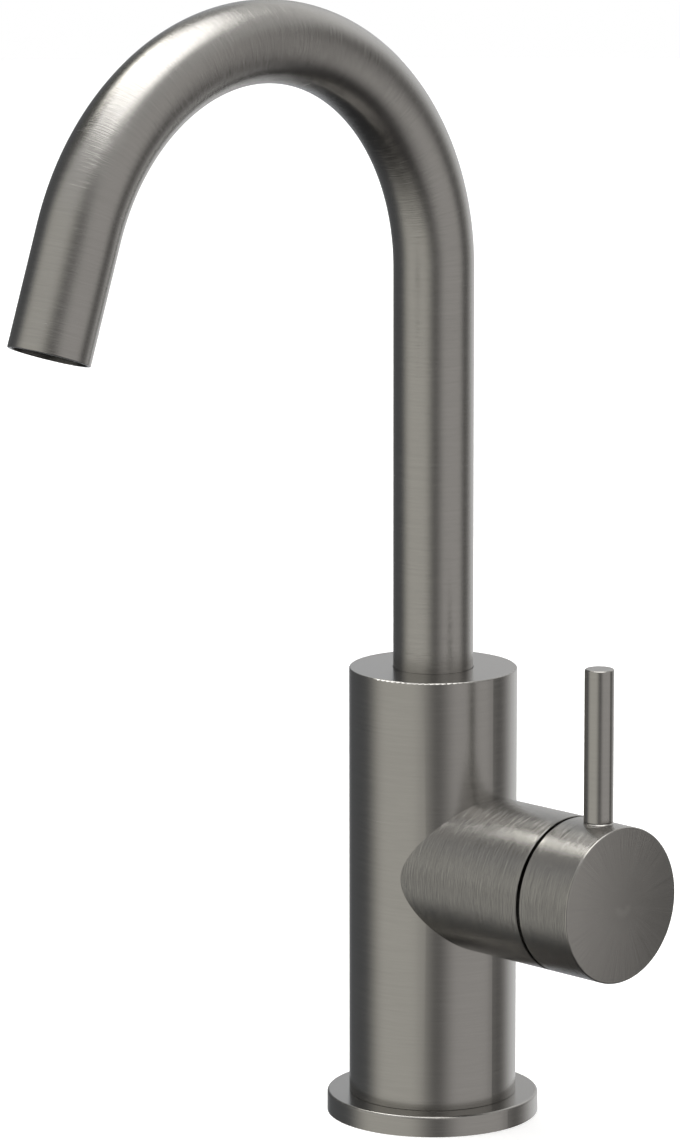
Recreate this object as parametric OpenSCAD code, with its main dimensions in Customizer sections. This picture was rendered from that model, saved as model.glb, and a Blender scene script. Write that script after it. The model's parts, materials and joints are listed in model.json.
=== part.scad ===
// Tall basin mixer with a swivelling gooseneck spout and a side valve with a pin lever.
// The origin is the middle of the base ring's underside, on the column's axis, and +Z is up.
// The spout points along -Y and the valve barrel along +X. All sizes are millimetres and degrees.

/* [Base ring] */
// Outer diameter of the base ring
base_d = 58.5; // [56:0.5:64]
// Thickness of the base ring
base_t = 5.75; // [4:0.25:8]
// Rounding of the base ring's top edge
base_round = 0.7; // [0.3:0.1:1.5]
// Mean diameter of the seal groove under the ring
seal_groove_d = 51; // [49:0.5:53]
// Width of the seal groove
seal_groove_w = 3; // [2:0.25:3.5]
// Depth of the seal groove
seal_groove_h = 1.6; // [1:0.1:2.5]

/* [Column] */
// Outer diameter of the column
column_d = 46.25; // [45:0.25:48]
// Height of the column's flat top above the deck
column_top_z = 125.75; // [118:0.25:130]
// Wall of the column
column_wall = 3; // [2.5:0.25:3.5]
// Thickness of the column's closed top
column_top_t = 6; // [5:0.5:7]
// Rounding of the column's top edge
column_round = 0.4; // [0.2:0.05:0.6]

/* [Spout] */
// Outer diameter of the spout tube
tube_d = 22; // [21:0.25:23]
// Wall of the spout tube
tube_wall = 1.5; // [1.25:0.05:1.75]
// Height of the middle of the bend
bend_z = 236; // [210:1:260]
// Radius of the bend, at the middle of the tube
bend_r = 66; // [55:0.5:80]
// Angle that the tube turns through
bend_angle = 161; // [150:1:180]
// Straight length after the bend
end_len = 32.75; // [25:0.25:45]

/* [Swivel] */
// Turn of the spout to either side, before it meets its stop
swivel_limit = 60; // [30:5:75]
// Height of the socket inside the column's top
socket_h = 20; // [18:0.5:24]
// Depth of the socket's mouth, which takes the glide ring and the collar
socket_mouth_h = 3; // [2.5:0.25:4]
// Outer diameter of the spout's spigot
spigot_d = 18; // [17:0.25:18.5]
// Length of the spigot below its collar
spigot_len = 13; // [12.5:0.25:13.5]
// Bore of the spigot, where the water passes
spigot_bore_d = 12; // [10:0.5:12.5]
// Length of the spigot inside the tube
tube_spigot_len = 14; // [10:1:20]
// Thickness of the glide ring under the collar
glide_t = 1; // [0.8:0.1:1.4]
// Thickness of the O-rings' cord
oring_cord = 1.5; // [1.2:0.1:1.6]
// Nominal thread of the stop screw
stop_thread_d = 5; // [4:0.5:5.5]
// Diameter of the stop screw's dog point
stop_dog_d = 2.6; // [2:0.1:3]
// Depth of the stop groove in the spigot
stop_groove_h = 1.3; // [1:0.1:1.5]

/* [Aerator] */
// Bore of the tube's mouth, which takes the aerator
mouth_d = 20; // [19.8:0.1:20.4]
// How far the aerator lies inside the mouth
mouth_recess = 1.2; // [0.6:0.1:2]
// Length of the aerator's housing
aerator_len = 7.5; // [6:0.5:9]
// Wall of the aerator's housing
aerator_wall = 1.9; // [1.6:0.1:2.2]
// Thickness of the aerator's seal
aerator_seal_t = 1.5; // [1:0.1:2]
// Number of key notches in the aerator's rim
key_notches = 6; // [4:1:8]
// Width of a key notch
key_notch_w = 2.4; // [1.5:0.1:3]
// Depth of a key notch along the aerator
key_notch_h = 1.6; // [1:0.1:2.2]
// Thickness of the honeycomb plate
comb_t = 2.2; // [1.5:0.1:3]
// Width of a honeycomb cell across its flats
comb_cell = 1.7; // [1.4:0.1:2]
// Distance between the middles of neighbouring cells
comb_pitch = 2.1; // [2:0.1:2.6]

/* [Valve barrel] */
// Height of the barrel's axis above the deck
valve_z = 70.75; // [60:0.25:75]
// Outer diameter of the barrel and of the handle cap
barrel_d = 42.75; // [41:0.25:43]
// Distance from the column's axis to the barrel's rim
barrel_reach = 52.5; // [51.5:0.25:53.5]
// Wall of the barrel round the thread in its mouth
mouth_wall = 1.75; // [1.5:0.05:2]
// Chamfer on the barrel's rim and on the cap's rim
rim_chamfer = 0.15; // [0.1:0.05:0.2]

/* [Cartridge] */
// Diameter of the cartridge
cartridge_d = 35; // [34:0.25:35.5]
// Depth of the cartridge's seat below the barrel's rim
seat_depth = 38.5; // [38:0.25:39.5]
// Thickness of the cartridge's base
cartridge_base_t = 6; // [5:0.25:6.5]
// Wall of the cartridge's housing
housing_wall = 2.3; // [2:0.1:2.6]
// Thickness of each ceramic disc
disc_t = 3.5; // [3:0.25:4]
// Diameter of the moving disc
moving_disc_d = 25; // [24:0.25:25.5]
// Thickness of the disc carrier
carrier_t = 6; // [5.5:0.25:6.5]
// Width of the disc carrier between its flats
carrier_w = 17.6; // [16:0.2:18]
// Diameter of the ball at the stem's inner end
ball_d = 6.4; // [6:0.1:6.8]
// Distance from the stem's pivot to the ball's middle
inner_arm = 11; // [10.5:0.25:11.5]
// Diameter of the stem's inner arm
inner_arm_d = 5; // [4:0.25:5.5]
// Width of the stem's square
stem_w = 8; // [7:0.25:8.5]
// Diameter of the stem's pivot pin
pivot_d = 3; // [2.5:0.25:3.5]
// Thickness of the rotor's base disc
rotor_base_t = 3.2; // [2.8:0.1:3.6]
// Diameter of the rotor's neck
rotor_neck_d = 23; // [22:0.25:23.5]
// Thickness of the housing's shoulder, which the nut presses on
shoulder_t = 4.5; // [4:0.25:5]
// Wall of the housing's neck
neck_wall = 2.3; // [2:0.1:2.6]
// Length of the housing's neck
neck_len = 6.1; // [5.5:0.1:6.4]
// Thickness of the cartridge nut
nut_t = 6.5; // [6:0.25:7]
// Number of spanner notches in the nut
nut_notches = 6; // [4:1:8]
// Width of the stop rib in the housing, in degrees round the barrel's axis
stop_rib_angle = 16; // [12:1:20]
// Turn of the handle to either side, from mixed to full hot or full cold
turn_limit = 50; // [40:5:50]
// Number of snap hooks that hold the cartridge's base in its housing
snap_hooks = 3; // [2:1:4]
// Outer radius of the dome cover, about the stem's pivot
dome_r = 14.5; // [14.3:0.1:15]
// Wall of the dome cover
dome_wall = 1.2; // [1:0.1:1.3]

/* [Handle] */
// Gap between the barrel and the handle cap
handle_gap = 1.3; // [1.2:0.05:1.6]
// Length of the handle cap
cap_len = 17.5; // [17:0.5:20]
// Wall of the handle cap
cap_wall = 1.75; // [1.5:0.05:2]
// Thickness of the cap's end wall
cap_end_t = 3.5; // [3:0.25:4]
// Rounding of the edge round the cap's end face
cap_round = 0.5; // [0.3:0.05:0.8]
// Height of the cap's slightly crowned end face
face_crown = 0.7; // [0.3:0.05:0.9]
// Wall of the cap's boss, round the corners of the stem's square
boss_wall = 2.6; // [2:0.1:3]
// Tilt of the handle from shut to fully open
tilt_range = 25; // [20:1:26]
// Gap that the cap's rim keeps as it swings past the barrel's rim
swing_gap = 0.25; // [0.15:0.05:0.3]
// Diameter of the lever rod
lever_d = 8; // [7:0.25:9]
// Distance from the cap's end face to the lever's axis
lever_inset = 8.6; // [8:0.1:9.5]
// Height of the lever's tip above the barrel's axis
lever_tip_h = 63.6; // [50:0.2:80]
// Nominal thread of the lever's foot and of the screw under it
lever_thread_d = 6; // [5:0.25:6.5]
// Length of the thread on the lever's foot
lever_thread_len = 5.2; // [4:0.1:5.6]
// Gap between the lever's thread and the grub screw that holds the cap on the stem
cap_screw_gap = 0.75; // [0.25:0.25:1.5]
// Fillet of the cap's small boss, which the lever stands on
foot_fillet = 1; // [0.6:0.1:1.2]
// Rounding of the lever's tip
lever_round = 0.5; // [0.3:0.05:0.8]

/* [Waterways] */
// Thickness of the inlet plug in the column's foot
plug_t = 13; // [12:0.5:15]
// Gap between the inlet plug and the deck
plug_lift = 1; // [0.5:0.1:2]
// Distance of each inlet from the plane through the spout
port_y = 8.4; // [8:0.1:8.8]
// Distance of the inlets from the column's axis, towards the barrel
inlet_x = 5; // [4.6:0.1:5.6]
// Core diameter of the inlet threads
inlet_thread_d = 9; // [8.4:0.1:9.4]
// Length of the inlet threads
inlet_thread_len = 8.5; // [7:0.25:8.75]
// Inner diameter of the inlet pipes
inlet_bore_d = 7; // [6:0.25:7.25]
// Inner diameter of the outlet pipe
outlet_bore_d = 8; // [7:0.25:8.5]
// Wall of the inlet pipes
inlet_pipe_wall = 1; // [0.8:0.1:1.2]
// Wall of the outlet pipe
outlet_pipe_wall = 1.5; // [1:0.1:2]
// Core diameter of the stud thread
stud_thread_d = 6.8; // [5.2:0.2:8]
// Length of the stud thread
stud_thread_len = 11; // [9:0.5:11.5]
// Distance from the column's axis to the stud thread, away from the barrel
stud_x = 11; // [10:0.25:12.5]
// Height of the inlet ports above the barrel's axis
inlet_port_z = 2.6; // [2.2:0.1:3]
// Diameter of the inlet ports in the seat
inlet_port_d = 6; // [5:0.25:6.25]
// Depth of the outlet port below the barrel's axis
outlet_port_z = 7.5; // [7:0.1:8]
// Diameter of the outlet port in the seat
outlet_port_d = 6.8; // [6:0.2:7]

/* [Fits] */
// Radial clearance of pieces that are pushed or soldered together
push_fit = 0.05; // [0.02:0.01:0.08]
// Radial clearance of pieces that turn or slide in each other
turn_fit = 0.1; // [0.06:0.02:0.14]
// Radial clearance round the pivot pin
pin_fit = 0.04; // [0.02:0.01:0.06]
// Gap between flat faces that move past each other
face_gap = 0.25; // [0.2:0.05:0.3]

/* [Hidden] */
$fn = 96;

gunmetal = [0.43, 0.42, 0.40];
raw_brass = [0.78, 0.63, 0.36];
steel = [0.72, 0.72, 0.72];
black_rubber = [0.12, 0.12, 0.12];
grey_plastic = [0.62, 0.64, 0.66];
white_ceramic = [0.92, 0.91, 0.88];

// Overlap that lets a cut run past the faces that it opens
past = 1;
// Hair's breadth by which two shapes of one solid lap
lap = 0.01;
// Broken edge of machined pieces, where it is smallest
edge_break = 0.1;
// Chamfers of screws, nuts and plugs
small_chamfer = 0.3;
thread_chamfer = 0.4;
lead_in = 0.5;
column_r = column_d / 2;
column_bore_r = column_r - column_wall;
inner_r = column_bore_r - push_fit;
tube_r = tube_d / 2;
tube_bore_r = tube_r - tube_wall;

// Swivel, from the column's top down
socket_top_z = column_top_z - column_top_t;
socket_floor_z = socket_top_z - socket_mouth_h;
collar_z = socket_floor_z + glide_t + push_fit;
tube_sink = 5;
tube_foot_z = column_top_z - tube_sink;
spigot_r = spigot_d / 2;
spigot_end_z = collar_z - spigot_len;
collar_r = tube_r;
guide_fit = 0.15;
guide_r = tube_r + guide_fit;
oring_play = 0.6;
oring_land = 1;
groove_w = oring_cord + oring_play;
groove_floor_r = spigot_r + turn_fit / 2 - oring_cord;
lower_oring_z = spigot_end_z + oring_land + groove_w / 2;
upper_oring_z = collar_z - oring_land - groove_w / 2;
stop_z = (lower_oring_z + upper_oring_z) / 2;
stop_play = 0.5;
stop_groove_w = stop_dog_d + stop_play;
stop_groove_r = spigot_r - stop_groove_h;
stop_half_angle = swivel_limit + asin((stop_dog_d / 2 + turn_fit) / stop_groove_r);
stop_dog_gap = 0.2;
stop_dog_y = stop_groove_r + stop_dog_gap;
stop_sink = 0.9;
stop_head_y = column_r - stop_sink;

// Mouth of the spout, measured along its straight end
aerator_end = end_len - mouth_recess;
aerator_start = aerator_end - aerator_len;
mouth_floor = aerator_start - aerator_seal_t;
mouth_r = mouth_d / 2;
aerator_r = mouth_r - push_fit;
comb_r = aerator_r - aerator_wall - push_fit;

// Cartridge, measured along the barrel from the column's axis
seat_x = barrel_reach - seat_depth;
base_pin_r = 1.7;
base_pin_len = 2.5;
base_pin_inset = 4;
base_pin_drop = 3.5;
kidney_w = 3.6;
kidney_r = norm([port_y, inlet_port_z]);
kidney_from = -4;
kidney_to = 30;
housing_r = cartridge_d / 2;
barrel_r = barrel_d / 2;
barrel_bore_r = housing_r + turn_fit;
mouth_thread_r = barrel_r - mouth_wall;
block_r = barrel_bore_r - push_fit;
block_back_x = -sqrt(inner_r * inner_r - block_r * block_r);
chamber_r = housing_r - housing_wall;
fixed_disc_x = seat_x + cartridge_base_t;
slide_x = fixed_disc_x + disc_t;
moving_disc_x = slide_x + push_fit;
carrier_x = moving_disc_x + disc_t;
rotor_x = carrier_x + carrier_t + face_gap;
ball_r = ball_d / 2;
pocket_floor_t = 0.8;
pivot_x = carrier_x + pocket_floor_t + face_gap + ball_r + inner_arm;
chamber_end_x = rotor_x + rotor_base_t + face_gap;
shoulder_x = chamber_end_x + shoulder_t;
stop_rib_h = 2.4;
stop_margin = 1;
stop_rib_r = chamber_r - stop_rib_h;
stop_notch_r = stop_rib_r - face_gap;
stop_notch_half = turn_limit + stop_rib_angle / 2 + stop_margin;
slot_skin = 0.9;
hook_in_r = chamber_r + slot_skin;
hook_out_r = housing_r - edge_break;
hook_bite = 0.4;
hook_head = 1.6;
hook_len = 7;
hook_end_x = fixed_disc_x + hook_len;
hook_angle = 9;
hook_side_angle = 1;
neck_bore_r = rotor_neck_d / 2 + turn_fit;
neck_r = neck_bore_r + neck_wall;
neck_end_x = shoulder_x + neck_len;
nut_end_x = shoulder_x + nut_t;
nut_r = mouth_thread_r - turn_fit;
thread_relief = 1.5;
thread_start_x = shoulder_x - thread_relief;
dome_bore_r = dome_r - dome_wall;
dome_flange_x = max(nut_end_x, neck_end_x) + push_fit;
rotor_dome_gap = 0.4;
rotor_end_x = pivot_x + sqrt(pow(dome_bore_r - rotor_dome_gap, 2) - pow(rotor_neck_d / 2, 2));
half_tilt = tilt_range / 2;
disc_drop = inner_arm * sin(half_tilt);
pool_r = 7.6;
pool_h = 1.8;
pool_drop = 1;

// Handle
cap_r = barrel_r;
cap_bore_r = cap_r - cap_wall;
cap_x = barrel_reach + handle_gap;
cap_end_x = cap_x + cap_len;
cap_floor_x = cap_end_x - cap_end_t;
crown_r = (pow(cap_r - cap_round, 2) + pow(face_crown, 2)) / (2 * face_crown);
swing_r = norm([barrel_r, barrel_reach - pivot_x]) + swing_gap;
rim_bore_r = sqrt(pow(swing_r, 2) - pow(cap_x - pivot_x, 2));
taper_end_x = pivot_x + sqrt(pow(swing_r, 2) - pow(cap_bore_r, 2));
lever_r = lever_d / 2;
lever_x = cap_end_x - lever_inset;
boss_foot_r = lever_r + foot_fillet;
boss_foot_sink = 0.05;
boss_foot_h = sqrt(pow(cap_r, 2) - pow(boss_foot_r, 2)) - boss_foot_sink;
lever_foot_h = boss_foot_h + foot_fillet;
lever_thread_r = lever_thread_d / 2;
stem_end_gap = 0.8;
stem_len = (cap_floor_x - stem_end_gap - pivot_x - stem_w / 2 * sin(half_tilt)) / cos(half_tilt);
boss_r = stem_w / sqrt(2) + boss_wall;
boss_dome_gap = 0.7;
boss_start = dome_r + boss_dome_gap;
stem_top_h = (lever_x + lever_thread_r - pivot_x) * tan(half_tilt) + stem_w / 2 / cos(half_tilt);
cap_screw_h = stem_top_h + push_fit;
cap_screw_len = lever_foot_h - lever_thread_len - cap_screw_gap - cap_screw_h;
pillar_wall = 3;
pillar_r = lever_thread_r + pillar_wall;
pillar_sink = 0.4;
stem_hole_gap = 0.6;
dome_hole_r = norm([dome_bore_r * sin(half_tilt) + stem_w / 2, stem_w / 2]) + stem_hole_gap;

// Water ways
inlet_pipe_r = inlet_bore_d / 2 + inlet_pipe_wall;
outlet_pipe_r = outlet_bore_d / 2 + outlet_pipe_wall;
plug_top_z = plug_lift + plug_t;
pipe_seat = 3;
inlet_joint_drop = 9;
outlet_joint_rise = 12.5;
inlet_joint_z = valve_z - inlet_joint_drop;
outlet_joint_z = valve_z + outlet_joint_rise;
port_seal_wall = 1.6;
port_seal_t = 1.1;

// Puts its children on the barrel's axis, with their z along +X, their x along +Y and their y along +Z
module on_barrel(x = 0) {
    translate([x, 0, valve_z]) rotate([90, 0, 90]) children();
}

// Puts its children on the spout's straight end, with their z along the flow
module on_outlet(d = 0) {
    translate([0, -bend_r, bend_z]) rotate([bend_angle, 0, 0]) translate([0, bend_r, d]) children();
}

// Puts its children on the stem, with their z from the pivot towards the cap
module on_stem(d = 0) {
    on_barrel(pivot_x) rotate([-half_tilt, 0, 0]) translate([0, 0, d]) children();
}

// Solid cylinder from z1 to z2
module rod(r, z1, z2) {
    translate([0, 0, z1]) cylinder(r = r, h = z2 - z1);
}

// Hollow cylinder from z1 to z2
module pipe(r_out, r_in, z1, z2) {
    difference() {
        rod(r_out, z1, z2);
        rod(r_in, z1 - past, z2 + past);
    }
}

// Solid cylinder from z1 to z2 with chamfered ends
module turned_rod(r, z1, z2, low_chamfer, high_chamfer) {
    rotate_extrude() polygon([
        [0, z1], [r - low_chamfer, z1], [r, z1 + low_chamfer],
        [r, z2 - high_chamfer], [r - high_chamfer, z2], [0, z2]
    ]);
}

// Solid cylinder from z1 to z2 with a small chamfer below and a rounded edge above
module rounded_rod(r, z1, z2, low_chamfer, round) {
    rotate_extrude() {
        polygon([[0, z1], [r - low_chamfer, z1], [r, z1 + low_chamfer], [r, z2 - round], [0, z2 - round]]);
        translate([0, z2 - round - lap]) square([r - round, round + lap]);
        intersection() {
            translate([r - round, z2 - round]) circle(round);
            translate([r - round - lap, z2 - round - lap]) square(round + past);
        }
    }
}

// Ring sector from one angle to another
module sector(r_out, r_in, z1, z2, from, to) {
    rotate([0, 0, from]) rotate_extrude(angle = to - from) translate([r_in, z1]) square([r_out - r_in, z2 - z1]);
}

// Places of the three water ports, seen along the barrel: hot, cold, outlet
module at_inlet_ports() {
    for (side = [-1, 1]) translate([side * port_y, inlet_port_z, 0]) children();
}
module at_outlet_port() {
    translate([0, -outlet_port_z, 0]) children();
}

// Base

module base_ring() {
    color(gunmetal) difference() {
        rotate_extrude() difference() {
            union() {
                square([base_d / 2 - base_round, base_t]);
                square([base_d / 2, base_t - base_round]);
                translate([base_d / 2 - base_round, base_t - base_round]) circle(base_round);
            }
            translate([-past, -past]) square([column_bore_r + past, base_t + 2 * past]);
        }
        pipe((seal_groove_d + seal_groove_w) / 2, (seal_groove_d - seal_groove_w) / 2, -past, seal_groove_h);
    }
}

module base_seal() {
    r_mid = seal_groove_d / 2;
    half_w = seal_groove_w / 2 - push_fit;
    h = seal_groove_h - push_fit;
    lip = small_chamfer;
    color(black_rubber) rotate_extrude() polygon([
        [r_mid - half_w + lip, 0], [r_mid + half_w - lip, 0], [r_mid + half_w, lip],
        [r_mid + half_w, h], [r_mid - half_w, h], [r_mid - half_w, lip]
    ]);
}

// Column

module column() {
    color(gunmetal) difference() {
        rounded_rod(column_r, base_t, column_top_z, edge_break, column_round);
        rod(column_bore_r, base_t - past, socket_top_z);
        rod(guide_r, socket_top_z - past, column_top_z + past);
        on_barrel() rod(barrel_bore_r, 0, column_r + past);
        translate([0, 0, stop_z]) rotate([-90, 0, 0]) rod(stop_thread_d / 2, 0, column_r + past);
    }
}

module inlet_plug() {
    color(raw_brass) difference() {
        turned_rod(inner_r, plug_lift, plug_top_z, lead_in, lead_in);
        for (side = [-1, 1]) translate([inlet_x, side * port_y, 0]) {
            rod(inlet_thread_d / 2, plug_lift - past, plug_lift + inlet_thread_len);
            rod(inlet_bore_d / 2, plug_lift, plug_top_z);
            rod(inlet_pipe_r + push_fit, plug_top_z - pipe_seat, plug_top_z + past);
        }
        translate([-stud_x, 0, 0]) rod(stud_thread_d / 2, plug_lift - past, plug_lift + stud_thread_len);
    }
}

module inlet_pipe(side) {
    color("peru") translate([inlet_x, side * port_y, 0])
        pipe(inlet_pipe_r, inlet_bore_d / 2, plug_top_z - pipe_seat, inlet_joint_z);
}
module inlet_pipe_hot() {
    inlet_pipe(-1);
}
module inlet_pipe_cold() {
    inlet_pipe(1);
}

// The cast block in the barrel's root, with the cartridge's seat and the crossing water bores
module seat_block() {
    pin_end_gap = 0.2;
    color(raw_brass) difference() {
        on_barrel() turned_rod(block_r, block_back_x, seat_x, edge_break, edge_break);
        on_barrel() {
            at_inlet_ports() rod(inlet_port_d / 2, inlet_x, seat_x + past);
            at_outlet_port() rod(outlet_port_d / 2, 0, seat_x + past);
            at_base_pins() rod(base_pin_r + push_fit, seat_x - base_pin_len - pin_end_gap, seat_x + past);
        }
        for (side = [-1, 1]) translate([inlet_x, side * port_y, 0]) {
            rod(inlet_bore_d / 2, inlet_joint_z - past, valve_z + inlet_port_z);
            rod(inlet_pipe_r + push_fit, valve_z - block_r - past, inlet_joint_z);
        }
        rod(outlet_bore_d / 2, valve_z - outlet_port_z, outlet_joint_z + past);
        rod(outlet_pipe_r + push_fit, outlet_joint_z, valve_z + block_r + past);
    }
}

module outlet_pipe() {
    color("peru") pipe(outlet_pipe_r, outlet_bore_d / 2, outlet_joint_z, socket_top_z - socket_h + pipe_seat);
}

// Swivel

module spout_socket() {
    foot_z = socket_top_z - socket_h;
    spigot_end_gap = 0.5;
    color(raw_brass) difference() {
        turned_rod(inner_r, foot_z, socket_top_z, lead_in, edge_break);
        rod(guide_r, socket_floor_z, socket_top_z + past);
        rod(spigot_r + turn_fit, spigot_end_z - spigot_end_gap, socket_top_z);
        rod(outlet_bore_d / 2, foot_z, spigot_end_z);
        rod(outlet_pipe_r + push_fit, foot_z - past, foot_z + pipe_seat);
        translate([0, 0, stop_z]) rotate([-90, 0, 0]) rod(stop_thread_d / 2, 0, inner_r + past);
    }
}

module glide_ring() {
    color("ivory") pipe(collar_r, spigot_r + turn_fit, socket_floor_z, socket_floor_z + glide_t);
}

// Threaded stop screw at the column's rear, with a dog point in the spigot's groove
module stop_screw() {
    thread_gap = 0.6;
    key_d = 2.5;
    key_h = 2.6;
    thread_r = stop_thread_d / 2 - push_fit;
    thread_y = spigot_r + turn_fit + thread_gap;
    color(steel) translate([0, 0, stop_z]) rotate([-90, 0, 0]) difference() {
        union() {
            turned_rod(thread_r, thread_y, stop_head_y, thread_chamfer, thread_chamfer);
            rod(stop_dog_d / 2, stop_dog_y, thread_y + past);
        }
        translate([0, 0, stop_head_y - key_h]) cylinder(d = key_d / cos(30), h = key_h + past, $fn = 6);
    }
}

module spout_spigot() {
    color(raw_brass) difference() {
        union() {
            turned_rod(spigot_r, spigot_end_z, collar_z + past, lead_in, 0);
            rod(collar_r, collar_z, tube_foot_z);
            turned_rod(tube_bore_r - push_fit, tube_foot_z - past, tube_foot_z + tube_spigot_len, 0, lead_in);
        }
        rod(spigot_bore_d / 2, spigot_end_z - past, tube_foot_z + tube_spigot_len + past);
        for (z = [lower_oring_z, upper_oring_z])
            pipe(spigot_r + past, groove_floor_r, z - groove_w / 2, z + groove_w / 2);
        rotate([0, 0, 90 - stop_half_angle]) rotate_extrude(angle = 2 * stop_half_angle)
            translate([stop_groove_r, stop_z - stop_groove_w / 2]) square([stop_groove_h + past, stop_groove_w]);
    }
}

module spigot_orings() {
    groove_gap = 0.02;
    cord_r = oring_cord / 2 - groove_gap;
    color(black_rubber) for (z = [lower_oring_z, upper_oring_z])
        translate([0, 0, z]) rotate_extrude() translate([groove_floor_r + oring_cord / 2, 0]) circle(cord_r);
}

// Spout

// Riser, bend and straight end in one. The end laps the bend by a hair, so that they are one solid.
module spout_tube() {
    end_lap = 0.3;
    end_chamfer = 0.25;
    color(gunmetal) difference() {
        union() {
            pipe(tube_r, tube_bore_r, tube_foot_z, bend_z);
            translate([0, -bend_r, bend_z]) rotate([90, 0, 90]) rotate_extrude(angle = bend_angle)
                translate([bend_r, 0]) difference() {
                    circle(tube_r);
                    circle(tube_bore_r);
                }
            on_outlet() difference() {
                turned_rod(tube_r + lap, -end_lap, end_len, 0, end_chamfer);
                rod(tube_bore_r - lap, -past, end_len + past);
            }
        }
        on_outlet() rod(mouth_r, mouth_floor, end_len + past);
    }
}

module aerator_housing() {
    notch_depth = aerator_wall / 2 + 0.2;
    notch_r = aerator_r - notch_depth;
    color([0.2, 0.2, 0.2]) on_outlet() difference() {
        turned_rod(aerator_r, aerator_start, aerator_end, small_chamfer, small_chamfer);
        rod(comb_r + push_fit, aerator_start - past, aerator_end + past);
        for (i = [0 : key_notches - 1]) rotate([0, 0, (i + 0.5) * 360 / key_notches])
            translate([notch_r, -key_notch_w / 2, aerator_end - key_notch_h])
                cube([aerator_r, key_notch_w, key_notch_h + past]);
    }
}

// Honeycomb plate that the water leaves through
module aerator_comb() {
    comb_rim = 0.6;
    comb_sink = 0.8;
    rings = floor((comb_r - comb_cell / 2 - comb_rim) / comb_pitch);
    color("silver") on_outlet(aerator_end - comb_t - comb_sink) difference() {
        cylinder(r = comb_r, h = comb_t);
        for (q = [-rings : rings], s = [-rings : rings])
            if (abs(q + s) <= rings)
                translate([comb_pitch * (q + s / 2), comb_pitch * s * sin(60), -past]) rotate([0, 0, 30])
                    cylinder(d = comb_cell / cos(30), h = comb_t + 2 * past, $fn = 6);
    }
}

module aerator_seal() {
    color(black_rubber) on_outlet() pipe(aerator_r, comb_r, mouth_floor + push_fit, aerator_start);
}

// Valve barrel, cut to a saddle by the column

module valve_barrel() {
    color(gunmetal) difference() {
        on_barrel() turned_rod(barrel_r, past, barrel_reach, 0, rim_chamfer);
        cylinder(r = column_r, h = column_top_z);
        on_barrel() {
            rod(barrel_bore_r, 0, barrel_reach);
            rod(mouth_thread_r, thread_start_x, barrel_reach + past);
        }
    }
}

// Cartridge

module at_base_pins() {
    for (side = [-1, 1]) translate([side * (housing_r - base_pin_inset), -base_pin_drop, 0]) children();
}

module cartridge_base() {
    color(grey_plastic) on_barrel() {
        difference() {
            rod(housing_r, seat_x, fixed_disc_x);
            at_inlet_ports() {
                rod(inlet_port_d / 2, seat_x - past, fixed_disc_x + past);
                rod(inlet_port_d / 2 + port_seal_wall, seat_x - past, seat_x + port_seal_t);
            }
            at_outlet_port() {
                rod(outlet_port_d / 2, seat_x - past, fixed_disc_x + past);
                rod(outlet_port_d / 2 + port_seal_wall, seat_x - past, seat_x + port_seal_t);
            }
        }
        at_base_pins() rod(base_pin_r, seat_x - base_pin_len, seat_x + past);
        at_hooks() hook(hook_out_r, 0, hook_angle);
    }
}

module at_hooks() {
    for (i = [0 : snap_hooks - 1]) rotate([0, 0, 90 + i * 360 / snap_hooks]) children();
}

// Snap hook with a tooth on its inner side, grown by a clearance for the slot that takes it
module hook(r_out, clear, half_angle) {
    rotate([0, 0, -half_angle]) rotate_extrude(angle = 2 * half_angle) polygon([
        [hook_in_r - clear, fixed_disc_x - past], [r_out, fixed_disc_x - past], [r_out, hook_end_x + clear],
        [hook_in_r - clear, hook_end_x + clear],
        [hook_in_r - hook_bite - clear, hook_end_x - hook_head / 2 + clear],
        [hook_in_r - hook_bite - clear, hook_end_x - hook_head - clear],
        [hook_in_r - clear, hook_end_x - hook_head - clear]
    ]);
}

module port_seals() {
    color(black_rubber) on_barrel() {
        at_inlet_ports()
            pipe(inlet_port_d / 2 + port_seal_wall - push_fit, inlet_port_d / 2, seat_x, seat_x + port_seal_t);
        at_outlet_port()
            pipe(outlet_port_d / 2 + port_seal_wall - push_fit, outlet_port_d / 2, seat_x, seat_x + port_seal_t);
    }
}

module cartridge_housing() {
    color(grey_plastic) on_barrel() difference() {
        union() {
            rod(housing_r, fixed_disc_x, shoulder_x);
            turned_rod(neck_r, shoulder_x - past, neck_end_x, 0, thread_chamfer);
        }
        difference() {
            rod(chamber_r, fixed_disc_x - past, chamber_end_x);
            sector(chamber_r + past, stop_rib_r, rotor_x + face_gap, chamber_end_x + past,
                90 - stop_rib_angle / 2, 90 + stop_rib_angle / 2);
        }
        rod(neck_bore_r, chamber_end_x - past, neck_end_x + past);
        at_hooks() hook(housing_r + past, push_fit, hook_angle + hook_side_angle);
    }
}

// Curved slot of the ceramic disc, from one angle to another
module kidney(from, to) {
    for (angle = [from, to]) rotate(angle) translate([kidney_r, 0]) circle(kidney_w / 2);
    intersection() {
        difference() {
            circle(kidney_r + kidney_w / 2);
            circle(kidney_r - kidney_w / 2);
        }
        polygon([[0, 0], for (angle = [from, to]) 2 * kidney_r * [cos(angle), sin(angle)]]);
    }
}

module fixed_disc() {
    color(white_ceramic) on_barrel(fixed_disc_x) linear_extrude(disc_t) difference() {
        circle(chamber_r - turn_fit);
        kidney(kidney_from, kidney_to);
        mirror([1, 0]) kidney(kidney_from, kidney_to);
        at_outlet_port() circle(outlet_port_d / 2);
    }
}

// The moving disc and its carrier lie low while the valve is shut
module on_disc(x) {
    on_barrel(x) translate([0, -disc_drop, 0]) children();
}

module moving_disc() {
    color(white_ceramic) on_disc(moving_disc_x) difference() {
        cylinder(d = moving_disc_d, h = disc_t);
        translate([0, -pool_drop, -past]) cylinder(r = pool_r, h = pool_h + past);
    }
}

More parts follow.
